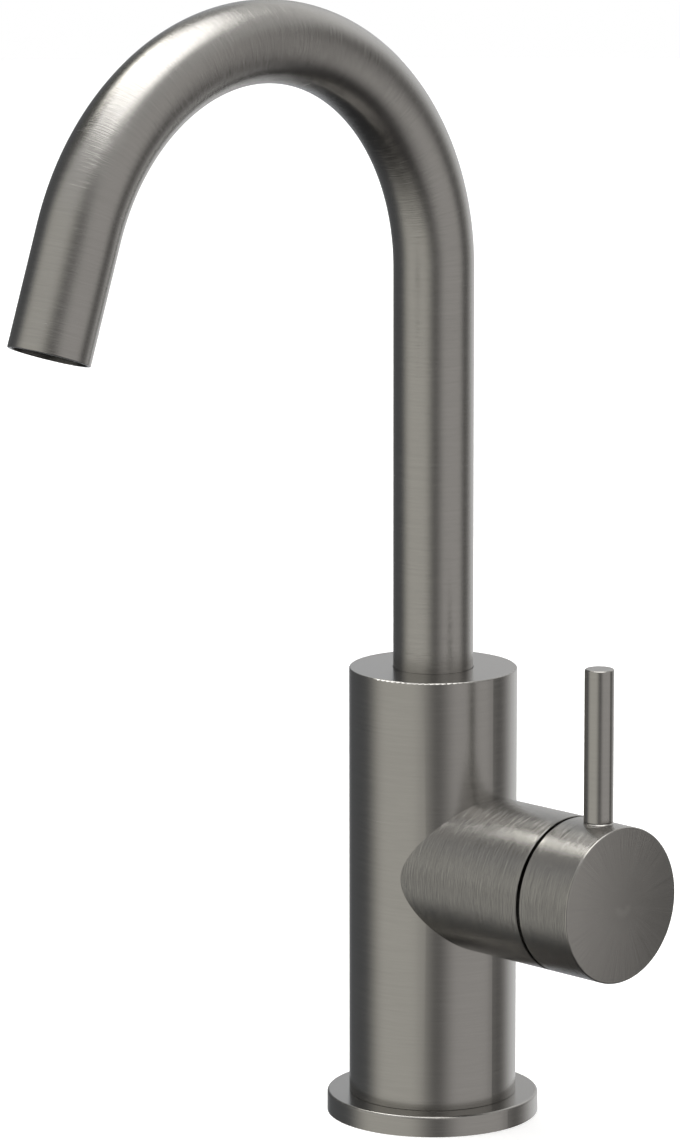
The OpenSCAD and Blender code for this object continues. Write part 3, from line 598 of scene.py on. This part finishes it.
def spout_tree(sizes):
    """The spout as a closed tube: outer skin, rounded lip, mouth, bore and foot, swept along its path."""
    tree, bench, size = new_tree("Swept spout", sizes)
    bend = size["Bend radius"]
    angle = size["Bend angle"]
    riser = size["Bend height"] - size["Foot height"]
    whole = riser + bend * angle + size["End length"]
    lip = size["Lip rounding"]
    tube = size["Tube radius"]
    bore = size["Bore radius"]
    mouth = size["Mouth radius"]
    floor = whole - size["Mouth depth"]

    def path(way):
        """Middle of the tube at a way along it, and the direction across the tube in the bend's plane."""
        past = way - riser
        turned = bench.smaller(bench.larger(past / bend, 0.0), angle)
        out_y = bench.cosine(turned)
        out_z = bench.sine(turned)
        straight = past - turned * bend
        y = bend * (out_y - 1.0) - straight * out_z
        z = size["Bend height"] + bend * out_z + straight * out_y
        return y, z, out_y, out_z

    # Rows, way along the path and radius of each sheet: outer skin, lip, mouth, bore and foot
    sheets = [
        (size["Rows"], lambda v: v * (whole - lip), lambda v: tube),
        (5, lambda v: whole - lip + lip * bench.sine(v * QUARTER_TURN),
         lambda v: tube - lip + lip * bench.cosine(v * QUARTER_TURN)),
        (1, lambda v: whole, lambda v: tube - lip + v * (mouth + lip - tube + lip)),
        (5, lambda v: whole - lip + lip * bench.cosine(v * QUARTER_TURN),
         lambda v: mouth + lip - lip * bench.sine(v * QUARTER_TURN)),
        (6, lambda v: whole - lip + v * (floor - whole + lip), lambda v: mouth),
        (1, lambda v: floor, lambda v: mouth + v * (bore - mouth)),
        (size["Rows"], lambda v: floor - v * floor, lambda v: bore),
        (1, lambda v: 0.0, lambda v: bore + v * (tube - bore)),
    ]
    joined = bench.node("GeometryNodeJoinGeometry")
    for rows, place, reach in sheets:
        sheet = swept_sheet(bench, path, size["Sides"], rows, place, reach)
        bench.tree.links.new(sheet.socket, joined.socket.node.inputs[0])
    closed = bench.node("GeometryNodeMergeByDistance", inputs={"Geometry": joined, "Distance": 0.004 * MM})
    close_tree(bench, closed, size)
    return tree


# Groups of settings

class GunmetalLook(bpy.types.PropertyGroup):
    """Brushed gunmetal of all the outer pieces."""

    colour: FloatVectorProperty(
        name="Colour", description="Base colour of the gunmetal coating",
        subtype="COLOR", size=3, min=0, max=1, default=(0.372, 0.362, 0.346))
    roughness: FloatProperty(
        name="Roughness", description="Mean roughness of the brushed coating",
        min=0.05, max=0.6, default=0.24)
    streak_length: FloatProperty(
        name="Streak length", description="Length of the brush lines in millimetres",
        min=2, max=60, default=16)
    streak_width: FloatProperty(
        name="Streak width", description="Width of the brush lines in millimetres",
        min=0.1, max=2, default=0.5)
    streak_contrast: FloatProperty(
        name="Streak contrast", description="How much the lines vary the colour",
        min=0, max=1, default=0.22)
    streak_depth: FloatProperty(
        name="Streak depth", description="Depth of the brush lines in millimetres",
        min=0, max=0.2, default=0.012)
    barrel_depth: FloatProperty(
        name="Barrel streak depth", description="Depth of the lines on barrel and cap in millimetres",
        min=0, max=0.2, default=0.045)
    spout_spread: FloatProperty(
        name="Spout hairline depth", description="Depth of the hairlines on the spout in millimetres",
        min=0, max=0.2, default=0.035)
    barrel_spread: FloatProperty(
        name="Barrel hairline depth", description="Depth of the hairlines on barrel and cap in millimetres",
        min=0, max=0.2, default=0.07)


class InnerLook(bpy.types.PropertyGroup):
    """Finishes of the pieces inside."""

    brass: FloatVectorProperty(
        name="Brass", description="Colour of machined brass",
        subtype="COLOR", size=3, min=0, max=1, default=(0.74, 0.56, 0.27))
    copper: FloatVectorProperty(
        name="Copper", description="Colour of drawn copper tube",
        subtype="COLOR", size=3, min=0, max=1, default=(0.78, 0.41, 0.26))
    steel: FloatVectorProperty(
        name="Steel", description="Colour of turned stainless steel",
        subtype="COLOR", size=3, min=0, max=1, default=(0.6, 0.59, 0.57))
    ceramic: FloatVectorProperty(
        name="Ceramic", description="Colour of the lapped discs",
        subtype="COLOR", size=3, min=0, max=1, default=(0.84, 0.82, 0.76))
    housing: FloatVectorProperty(
        name="Housing plastic", description="Colour of the cartridge's housing",
        subtype="COLOR", size=3, min=0, max=1, default=(0.5, 0.52, 0.55))
    rotor: FloatVectorProperty(
        name="Rotor plastic", description="Colour of the low-friction plastic",
        subtype="COLOR", size=3, min=0, max=1, default=(0.76, 0.76, 0.73))
    lathe_pitch: FloatProperty(
        name="Lathe pitch", description="Distance of the turning lines in millimetres",
        min=0.05, max=1, default=0.16)
    lathe_depth: FloatProperty(
        name="Lathe depth", description="Depth of the turning lines in millimetres",
        min=0, max=0.1, default=0.012)
    plastic_grain: FloatProperty(
        name="Plastic grain", description="Size of the moulded grain in millimetres",
        min=0.05, max=2, default=0.25)


class SpoutShape(bpy.types.PropertyGroup):
    """Rounding and fineness of the swept spout."""

    lip: FloatProperty(
        name="Lip rounding", description="Rounding of the spout's mouth",
        subtype="DISTANCE", unit="LENGTH", min=0.0001, max=0.0004, precision=5, default=0.0003)
    sides: IntProperty(name="Sides", description="Facets round the tube", min=24, max=256, default=128)
    rows: IntProperty(name="Rows", description="Rows along the tube", min=40, max=400, default=190)


class PlugShape(bpy.types.PropertyGroup):
    """Threads of the inlet plug."""

    stud_pitch: FloatProperty(
        name="Stud pitch", description="Pitch of the fixing stud's thread",
        subtype="DISTANCE", unit="LENGTH", min=0.0005, max=0.002, precision=5, default=0.00125)
    hose_pitch: FloatProperty(
        name="Hose pitch", description="Pitch of the hoses' threads",
        subtype="DISTANCE", unit="LENGTH", min=0.0005, max=0.002, precision=5, default=0.001)
    steps: IntProperty(
        name="Steps a turn", description="Steps of each thread's turn", min=12, max=96, default=36)


class StudioLook(bpy.types.PropertyGroup):
    """Light tent, floor and background."""

    ceiling: FloatProperty(
        name="Ceiling", description="Strength of the soft light overhead",
        min=0, max=10, default=3)
    left_wall: FloatProperty(
        name="Left wall", description="Strength of the pale wall on the left",
        min=0, max=5, default=0.6)
    right_wall: FloatProperty(
        name="Right wall", description="Strength of the pale wall on the right",
        min=0, max=5, default=0.45)
    back_wall: FloatProperty(
        name="Back wall", description="Strength of the pale wall behind on the right",
        min=0, max=5, default=0.74)
    shade: FloatProperty(
        name="Shade", description="Strength of the dark gaps between the walls",
        min=0, max=1, default=0.18)
    floor_glow: FloatProperty(
        name="Floor glow", description="Lift of the pale floor towards white, for the camera",
        min=0, max=1, default=0.5)
    tent_radius: FloatProperty(
        name="Tent radius", description="Radius of the light tent",
        subtype="DISTANCE", unit="LENGTH", min=1, max=20, default=3)
    floor_radius: FloatProperty(
        name="Floor radius", description="Radius of the floor",
        subtype="DISTANCE", unit="LENGTH", min=1, max=20, default=2.9)


# Pieces and stage

class MIXER_OT_gunmetal(bpy.types.Operator):
    """Dress the outer pieces in brushed gunmetal"""

    bl_idname = "mixer.gunmetal"
    bl_label = "Gunmetal"

    def execute(self, context):
        look = context.scene.mixer_gunmetal
        depth = look.streak_depth
        dress(gunmetal("Gunmetal turned round the column", look, sweep_column, depth), "base_ring", "column")
        dress(gunmetal("Gunmetal turned round the lever", look, sweep_lever, depth), "lever_rod")
        turned = gunmetal("Gunmetal turned round the barrel", look, sweep_barrel, look.barrel_depth,
                          look.barrel_spread)
        dress(turned, "valve_barrel", "handle_cap")
        return {"FINISHED"}


class MIXER_OT_spout(bpy.types.Operator):
    """Sweep the spout along its path, with a rounded lip, in place of the plain solid"""

    bl_idname = "mixer.spout"
    bl_label = "Spout"

    def execute(self, context):
        shape = context.scene.mixer_spout
        sizes = {
            "Tube radius": TUBE_RADIUS,
            "Bore radius": TUBE_RADIUS - TUBE_WALL,
            "Mouth radius": MOUTH_RADIUS,
            "Foot height": TUBE_BOX[0].z,
            "Bend height": BEND_HEIGHT,
            "Bend radius": BEND_RADIUS,
            "Bend angle": BEND_ANGLE,
            "End length": END_LENGTH,
            "Mouth depth": MOUTH_DEPTH,
            "Lip rounding": shape.lip,
            "Sides": shape.sides,
            "Rows": shape.rows,
        }
        look = context.scene.mixer_gunmetal
        finish = gunmetal("Gunmetal brushed round the spout", look, sweep_spout, look.streak_depth,
                          look.spout_spread)
        start = bpy.data.meshes.new("Start of the spout")
        piece = grow("spout_shell", start, spout_tree(sizes), sizes, finish, sharp_angle=40)
        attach(piece, "spout")
        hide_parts("spout_tube")
        return {"FINISHED"}


class MIXER_OT_plug(bpy.types.Operator):
    """Tap the stud's and the hoses' threads into the inlet plug, in place of the plain solid"""

    bl_idname = "mixer.plug"
    bl_label = "Tapped plug"

    def execute(self, context):
        shape = context.scene.mixer_plug
        hose = shape.hose_pitch
        pitches = {"stud_thread": shape.stud_pitch, "hot_inlet": hose, "cold_inlet": hose}
        sizes = {"Steps a turn": shape.steps}
        for hole, pitch in pitches.items():
            mount = MOUNTS[hole]
            sizes[hole + " pitch"] = pitch
            sizes[hole + " core radius"] = mount["dims"]["r_mm"] * MM
            sizes[hole + " thread depth"] = pitch * THREAD_DEPTH
            sizes[hole + " length"] = mount["dims"]["length_mm"] * MM - THREAD_SHORTER * pitch
            sizes[hole + " place"] = Vector(mount["pos_m"]) + Vector((0, 0, -THREAD_LEAD_IN * pitch))
        start = bpy.data.meshes.new("Start of the plug")
        bm = bmesh.new()
        bm.from_mesh(frame["nodes"]["inlet_plug"].data)
        bmesh.ops.remove_doubles(bm, verts=bm.verts, dist=0.001 * MM)
        bm.to_mesh(start)
        bm.free()
        look = context.scene.mixer_inner
        finish = turned_metal("Brass tapped and turned", look.brass, "column", look, roughness=0.27)
        piece = grow("tapped_plug", start, tapped_tree(sizes, pitches), sizes, finish, sharp_angle=28)
        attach(piece, "body")
        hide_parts("inlet_plug")
        return {"FINISHED"}


class MIXER_OT_inner(bpy.types.Operator):
    """Dress the pipes, seals, cartridge, screws and aerator"""

    bl_idname = "mixer.inner"
    bl_label = "Inner pieces"

    def execute(self, context):
        look = context.scene.mixer_inner
        brass = look.brass
        steel = look.steel
        finish = turned_metal("Brass turned about the column", brass, "column", look, roughness=0.27)
        dress(finish, "spout_spigot")
        finish = turned_metal("Brass turned about the barrel", brass, "barrel", look, roughness=0.25)
        dress(finish, "cartridge_nut")
        dress(cast_metal("Cast brass", brass), "seat_block", "spout_socket")
        dress(cast_metal("Milled brass", rgba(brass, 1.05)), "stem")
        dress(drawn_tube("Drawn copper", look.copper), "inlet_pipe_hot", "inlet_pipe_cold", "outlet_pipe")
        finish = turned_metal("Steel turned about the barrel", steel, "barrel", look, roughness=0.2)
        dress(finish, "dome_cover")
        finish = turned_metal("Steel turned about the lever", steel, "lever", look, roughness=0.24)
        dress(finish, "cap_screw")
        finish = turned_metal("Steel of the small pins", steel, "column", look, roughness=0.22)
        dress(finish, "stop_screw", "pivot_pin")
        dress(seal_rubber("Seal rubber"), "base_seal", "spigot_orings", "aerator_seal", "port_seals")
        finish = moulded("Cartridge plastic", look.housing, look, roughness=0.42, flow=0.2)
        dress(finish, "cartridge_base", "cartridge_housing")
        finish = moulded("Rotor plastic", look.rotor, look, roughness=0.36, flow=0.3)
        dress(finish, "cartridge_rotor", "glide_ring")
        dress(moulded("Carrier plastic", CARRIER_GREY, look, roughness=0.4), "disc_carrier")
        dress(moulded("Aerator plastic", AERATOR_BLACK, look, roughness=0.4), "aerator_housing")
        dress(moulded("Comb plastic", COMB_GREY, look, roughness=0.36), "aerator_comb")
        dress(lapped_ceramic("Lapped ceramic", look.ceramic), "fixed_disc", "moving_disc")
        return {"FINISHED"}


class MIXER_OT_studio(bpy.types.Operator):
    """Make the light tent, the pale floor and the white background"""

    bl_idname = "mixer.studio"
    bl_label = "Studio"

    def execute(self, context):
        look = context.scene.mixer_studio
        world = bpy.data.worlds.new("White background")
        world.use_nodes = True
        bench = Bench(world.node_tree)
        back = bench.node("Background", inputs={"Color": WHITE, "Strength": 1.0})
        bench.node("OutputWorld", inputs={"Surface": back})
        context.scene.world = world

        floor = self.stage_object("Floor", self.floor_finish(look), bmesh.ops.create_circle,
                                  cap_ends=True, segments=128, radius=look.floor_radius)
        floor.visible_glossy = False

        tent = self.stage_object("Light tent", self.tent_finish(look), bmesh.ops.create_uvsphere,
                                 u_segments=64, v_segments=32, radius=look.tent_radius)
        tent.visible_camera = False
        tent.visible_shadow = False
        return {"FINISHED"}

    def stage_object(self, name, finish, maker, **sizes):
        """A new object with one of the plain shapes."""
        mesh = bpy.data.meshes.new(name)
        bm = bmesh.new()
        maker(bm, **sizes)
        bm.to_mesh(mesh)
        bm.free()
        mesh.materials.append(finish)
        made = bpy.data.objects.new(name, mesh)
        bpy.context.scene.collection.objects.link(made)
        return made

    def floor_finish(self, look):
        """Pale matt floor, lifted towards white for the camera alone, so that it keeps its shadow."""
        made, bench = new_finish("Pale floor")
        seen = bench.outputs(bench.node("LightPath"), "Is Camera Ray")[0]
        mottle = bench.noise(bench.place(), scale=30.0)
        pale = bench.tint(mottle, (0.85, 0.85, 0.85, 1), (0.87, 0.87, 0.87, 1))
        close_finish(bench, Base_Color=pale, Roughness=0.9, Emission_Color=WHITE,
                     Emission_Strength=seen * look.floor_glow)
        return made

    def tent_finish(self, look):
        """Pale walls with dark gaps between them and a bright ceiling, by direction from the object.

        turn is the direction round the object in degrees: 0 towards the photograph's camera, positive on its
        right, 180 behind the object. rise is the height above the horizon in degrees."""
        made, bench = new_finish("Light tent cloth")
        smooth = bench.smooth
        window = bench.window
        x, y, z = bench.split(bench.place())
        ahead = math.radians(CAMERA_HEADING - 90)
        front = x * math.cos(ahead) + y * math.sin(ahead)
        right = y * math.cos(ahead) - x * math.sin(ahead)
        degrees = 180 / math.pi
        turn = bench.angle(right, front) * degrees
        rise = bench.angle(z, bench.length(x, y)) * degrees

        # Walls on the left and right, and the weak light above the camera; the left one's edge leans
        sides = window(rise, -40, 34, 62, 24) * smooth(rise, 10, 34, 1.0, 0.9)
        skew = smooth(rise, -30, -6, 6.5, 1.0) + smooth(rise, -6, 10, 0.0, 7.0)
        left_side = window(turn + skew, -86, 34, -8, 34) * look.left_wall
        right_side = window(turn, 18, 30, 88, 16) * look.right_wall
        above = window(turn, -14, 28, 30, 36) * smooth(rise, 12, 54) * 0.42

        # Wall behind on the right, weaker from 156 degrees on over to -154, and the weak light above it
        behind = smooth(turn, 102, 142) * (1.0 - smooth(turn, 156, 178, 0.0, 0.34))
        behind = behind + smooth(turn, -154, -178) * 0.68
        behind = behind * window(rise, -38, 30, 44, 30) * look.back_wall
        behind = behind + window(turn, 78, 24, 177, 6) * smooth(rise, 18, 50) * 0.42

        # Ceiling, whose edge lies lower in front, on the left and behind, and higher behind on the right
        edge = 62.5 - window(turn, -20, 30, 65, 40) * 6.0 + window(turn, 92, 30, 165, 20) * 4.0
        edge = edge - (smooth(turn, -52, -76) + smooth(turn, 160, 180)) * 2.0
        ceiling = smooth(rise - edge, -6, 7) * look.ceiling

        # Small softbox behind on the left, and the dark gaps, darker low down and behind on the left
        softbox = window(turn, -152, 14, -117, 14) * window(rise, 51, 10, 66, 8) * 4.2
        gaps = smooth(rise, -55, -15, 0.35, 1.0) * smooth(turn, -120, -90, 0.82, 1.0)
        strength = sides * (left_side + right_side + above) + behind + gaps * look.shade + ceiling + softbox

        # Faint tints: cool behind on the left, yellow on the left and by the softbox, rosy on the right
        colour = bench.tint(smooth(turn, -112, -84), (0.93, 0.96, 1.0, 1), (1.0, 0.985, 0.92, 1))
        colour = bench.tint(smooth(turn, -22, 8), colour, (1.0, 0.975, 0.955, 1))
        colour = bench.tint(smooth(turn, 108, 140), colour, (0.99, 0.995, 1.0, 1))
        colour = bench.tint(smooth(rise, 22, 44), colour, (1.0, 0.995, 0.98, 1))
        by_softbox = window(turn, -168, 12, -100, 16) * window(rise, 36, 8, 62, 8)
        colour = bench.tint(by_softbox, colour, (1.0, 0.99, 0.93, 1))
        glow = bench.node("Emission", inputs={"Color": colour, "Strength": strength})
        bench.node("OutputMaterial", inputs={"Surface": glow})
        return made


class MIXER_OT_camera(bpy.types.Operator):
    """Put the camera at the photograph's viewpoint"""

    bl_idname = "mixer.camera"
    bl_label = "Camera"

    def execute(self, context):
        data = bpy.data.cameras.new("Camera")
        data.sensor_width = CAMERA_SENSOR
        data.lens = CAMERA_LENS
        data.clip_start = 0.1
        data.clip_end = 100
        camera = bpy.data.objects.new("Camera", data)
        camera.location = CAMERA_PLACE
        level = Matrix.Rotation(math.radians(CAMERA_HEADING), 3, "Z")
        aimed = level @ Matrix.Rotation(math.radians(90 - CAMERA_PITCH), 3, "X")
        camera.rotation_euler = (aimed @ Matrix.Rotation(math.radians(CAMERA_ROLL), 3, "Z")).to_euler()
        context.scene.collection.objects.link(camera)
        context.scene.camera = camera
        context.scene.view_settings.view_transform = "Standard"
        return {"FINISHED"}


class MIXER_PT_panel(bpy.types.Panel):
    """Lists the mixer's pieces and their settings"""

    bl_label = "Tall basin mixer"
    bl_idname = "MIXER_PT_panel"
    bl_space_type = "VIEW_3D"
    bl_region_type = "UI"
    bl_category = "Mixer"

    def draw(self, context):
        for operator, group in PIECES:
            box = self.layout.box()
            box.operator(operator)
            if group:
                settings = getattr(context.scene, group)
                for name in settings.__annotations__:
                    box.prop(settings, name)


GROUPS = (("mixer_gunmetal", GunmetalLook), ("mixer_inner", InnerLook), ("mixer_spout", SpoutShape),
          ("mixer_plug", PlugShape), ("mixer_studio", StudioLook))
PIECES = (("mixer.camera", None), ("mixer.gunmetal", "mixer_gunmetal"), ("mixer.inner", "mixer_inner"),
          ("mixer.spout", "mixer_spout"), ("mixer.plug", "mixer_plug"), ("mixer.studio", "mixer_studio"))
CLASSES = (GunmetalLook, InnerLook, SpoutShape, PlugShape, StudioLook, MIXER_OT_camera, MIXER_OT_gunmetal,
           MIXER_OT_inner, MIXER_OT_spout, MIXER_OT_plug, MIXER_OT_studio, MIXER_PT_panel)


def register():
    for each in CLASSES:
        bpy.utils.register_class(each)
    for name, group in GROUPS:
        setattr(bpy.types.Scene, name, PointerProperty(type=group))


def unregister():
    for name, _ in GROUPS:
        delattr(bpy.types.Scene, name)
    for each in reversed(CLASSES):
        bpy.utils.unregister_class(each)


def main():
    """Registers the add-on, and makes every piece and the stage."""
    register()
    for operator, _ in PIECES:
        space, name = operator.split(".")
        getattr(getattr(bpy.ops, space), name)()


if __name__ == "__main__":
    main()
